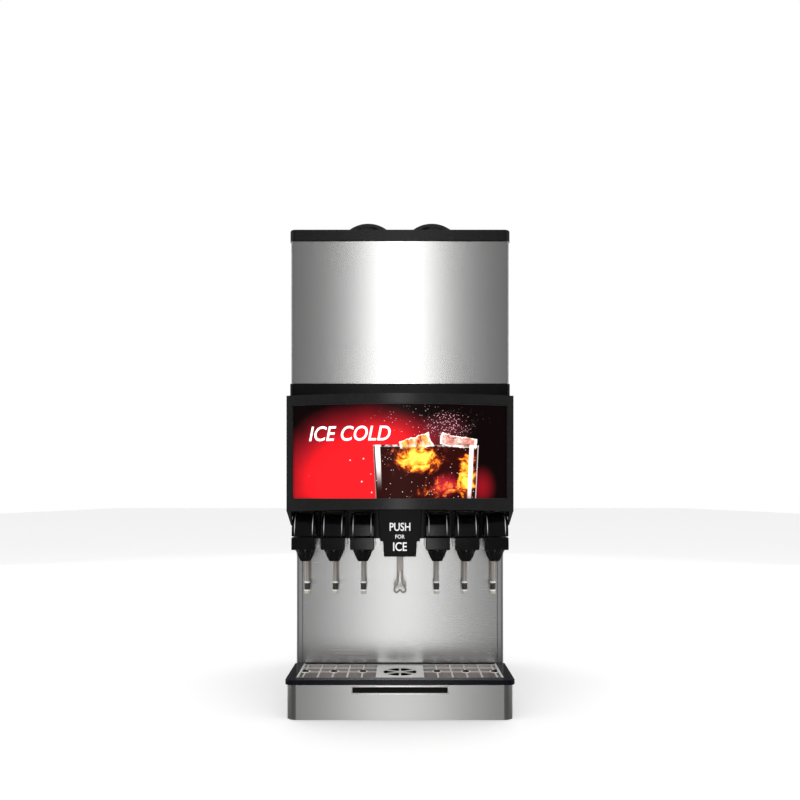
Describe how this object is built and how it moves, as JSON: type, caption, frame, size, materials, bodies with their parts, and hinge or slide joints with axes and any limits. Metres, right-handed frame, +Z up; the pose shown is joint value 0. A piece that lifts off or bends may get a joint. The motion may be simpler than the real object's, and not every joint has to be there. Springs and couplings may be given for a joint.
{
  "type": "fountain soda dispenser",
  "caption": "Countertop soda and ice dispenser with lever valves in a row, central ice chute, bowed backlit display, top ice bin under a handled lid, and a drip tray.",
  "frame": {"origin": "middle of the overall box, on the counter", "axes": "+Z up, -Y the front that the user faces, +X to the user's right"},
  "size_m": [0.574, 0.7, 1.261],
  "materials": {
    "cabinet_steel": "brushed stainless sheet, vertical grain",
    "splash_steel": "brushed stainless sheet, bright",
    "hopper_steel": "brushed stainless sheet, flat front",
    "grille_steel": "polished stainless sheet",
    "lever_steel": "polished stainless rod",
    "chassis_steel": "grey powder coat",
    "galvanised": "galvanised sheet",
    "pin_steel": "ground steel rod",
    "cold_aluminium": "cast aluminium with tubes inside",
    "line_steel": "stainless tube",
    "lid_plastic": "gloss black moulding",
    "tray_plastic": "black moulding, soft gloss",
    "band_plastic": "gloss black moulding",
    "bezel_plastic": "gloss dark grey moulding",
    "valve_plastic": "gloss black moulding",
    "valve_body_plastic": "matt dark grey moulding",
    "nozzle_plastic": "gloss black moulding",
    "shroud_plastic": "gloss black moulding",
    "label_plastic": "plain black insert",
    "liner_plastic": "white food-grade moulding",
    "chute_plastic": "grey food-grade moulding",
    "foam": "foamed-in-place insulation",
    "display_film": "backlit printed acrylic, red",
    "light_box_white": "white reflector",
    "led_board": "white board with diodes",
    "screw_steel": "bright socket screw"
  },
  "bodies": {
    "cabinet": {"base_pan": "galvanised", "base_front_panel": "cabinet_steel", "label_plate": "label_plastic", "drain_line": "chute_plastic", "chassis": "chassis_steel", "right_side_panel": "cabinet_steel", "left_side_panel": "cabinet_steel", "rear_panel": "galvanised", "splash_panel": "splash_steel", "hopper_shell": "hopper_steel", "hopper_foam": "foam", "hopper_liner": "liner_plastic", "cold_plate": "cold_aluminium", "gear_motor": "chassis_steel", "hinge_brackets": "cabinet_steel", "trim_band": "band_plastic", "trim_screws": "screw_steel", "bezel": "bezel_plastic", "display_panel": "display_film", "light_box": "light_box_white", "led_strips": "led_board", "valve_panel": "cabinet_steel", "valve_mounts": "valve_body_plastic", "ice_chute_shroud": "shroud_plastic", "ice_chute": "chute_plastic", "pivot_pins": "pin_steel", "drink_lines": "line_steel", "control_box": "galvanised", "valve_1_body": "valve_body_plastic", "valve_1_cover": "valve_plastic", "valve_1_nozzle": "nozzle_plastic", "valve_2_body": "valve_body_plastic", "valve_2_cover": "valve_plastic", "valve_2_nozzle": "nozzle_plastic", "valve_3_body": "valve_body_plastic", "valve_3_cover": "valve_plastic", "valve_3_nozzle": "nozzle_plastic", "valve_4_body": "valve_body_plastic", "valve_4_cover": "valve_plastic", "valve_4_nozzle": "nozzle_plastic", "valve_5_body": "valve_body_plastic", "valve_5_cover": "valve_plastic", "valve_5_nozzle": "nozzle_plastic", "valve_6_body": "valve_body_plastic", "valve_6_cover": "valve_plastic", "valve_6_nozzle": "nozzle_plastic"},
    "lid": {"lid": "lid_plastic", "lid_handles": "lid_plastic", "hinge_leaves": "cabinet_steel"},
    "agitator": {"agitator": "lever_steel"},
    "ice_lever": {"ice_lever": "lever_steel"},
    "ice_gate": {"ice_gate": "valve_body_plastic"},
    "drip_tray": {"drip_tray": "tray_plastic"},
    "cup_rest": {"cup_rest": "grille_steel"},
    "valve_1_lever": {"valve_1_lever": "lever_steel"},
    "valve_2_lever": {"valve_2_lever": "lever_steel"},
    "valve_3_lever": {"valve_3_lever": "lever_steel"},
    "valve_4_lever": {"valve_4_lever": "lever_steel"},
    "valve_5_lever": {"valve_5_lever": "lever_steel"},
    "valve_6_lever": {"valve_6_lever": "lever_steel"}
  },
  "joints": [
    {"name": "lid_hinge", "type": "hinge", "parent": "cabinet", "child": "lid", "pos_m": [0, 0.338, 1.212], "axis": [-1, 0, 0], "range_deg": [0, 85]},
    {"name": "agitator_spin", "type": "hinge", "parent": "cabinet", "child": "agitator", "pos_m": [0, 0.09, 0.594], "axis": [0, 0, 1], "continuous": true},
    {"name": "ice_lever_pivot", "type": "hinge", "parent": "cabinet", "child": "ice_lever", "pos_m": [0, -0.214, 0.44], "axis": [1, 0, 0], "range_deg": [0, 12], "stiffness_Nm_per_rad": 0.6, "springref_deg": -5.73},
    {"name": "ice_gate_pivot", "type": "hinge", "parent": "cabinet", "child": "ice_gate", "pos_m": [0, -0.166, 0.781], "axis": [-1, 0, 0], "range_deg": [0, 40]},
    {"name": "drip_tray_lift", "type": "slide", "parent": "cabinet", "child": "drip_tray", "axis": [0, 0, 1], "range_m": [0, 0.12]},
    {"name": "cup_rest_lift", "type": "slide", "parent": "drip_tray", "child": "cup_rest", "axis": [0, 0, 1], "range_m": [0, 0.06]},
    {"name": "valve_1_lever_pivot", "type": "hinge", "parent": "cabinet", "child": "valve_1_lever", "pos_m": [-0.244, -0.209, 0.428], "axis": [1, 0, 0], "range_deg": [0, 12], "stiffness_Nm_per_rad": 0.4, "springref_deg": -5.73},
    {"name": "valve_2_lever_pivot", "type": "hinge", "parent": "cabinet", "child": "valve_2_lever", "pos_m": [-0.17, -0.209, 0.428], "axis": [1, 0, 0], "range_deg": [0, 12], "stiffness_Nm_per_rad": 0.4, "springref_deg": -5.73},
    {"name": "valve_3_lever_pivot", "type": "hinge", "parent": "cabinet", "child": "valve_3_lever", "pos_m": [-0.096, -0.209, 0.428], "axis": [1, 0, 0], "range_deg": [0, 12], "stiffness_Nm_per_rad": 0.4, "springref_deg": -5.73},
    {"name": "valve_4_lever_pivot", "type": "hinge", "parent": "cabinet", "child": "valve_4_lever", "pos_m": [0.096, -0.209, 0.428], "axis": [1, 0, 0], "range_deg": [0, 12], "stiffness_Nm_per_rad": 0.4, "springref_deg": -5.73},
    {"name": "valve_5_lever_pivot", "type": "hinge", "parent": "cabinet", "child": "valve_5_lever", "pos_m": [0.17, -0.209, 0.428], "axis": [1, 0, 0], "range_deg": [0, 12], "stiffness_Nm_per_rad": 0.4, "springref_deg": -5.73},
    {"name": "valve_6_lever_pivot", "type": "hinge", "parent": "cabinet", "child": "valve_6_lever", "pos_m": [0.244, -0.209, 0.428], "axis": [1, 0, 0], "range_deg": [0, 12], "stiffness_Nm_per_rad": 0.4, "springref_deg": -5.73}
  ],
  "couplings": [
    {"joint": "ice_gate_pivot", "follows": "ice_lever_pivot", "ratio": 3.3333}
  ]
}
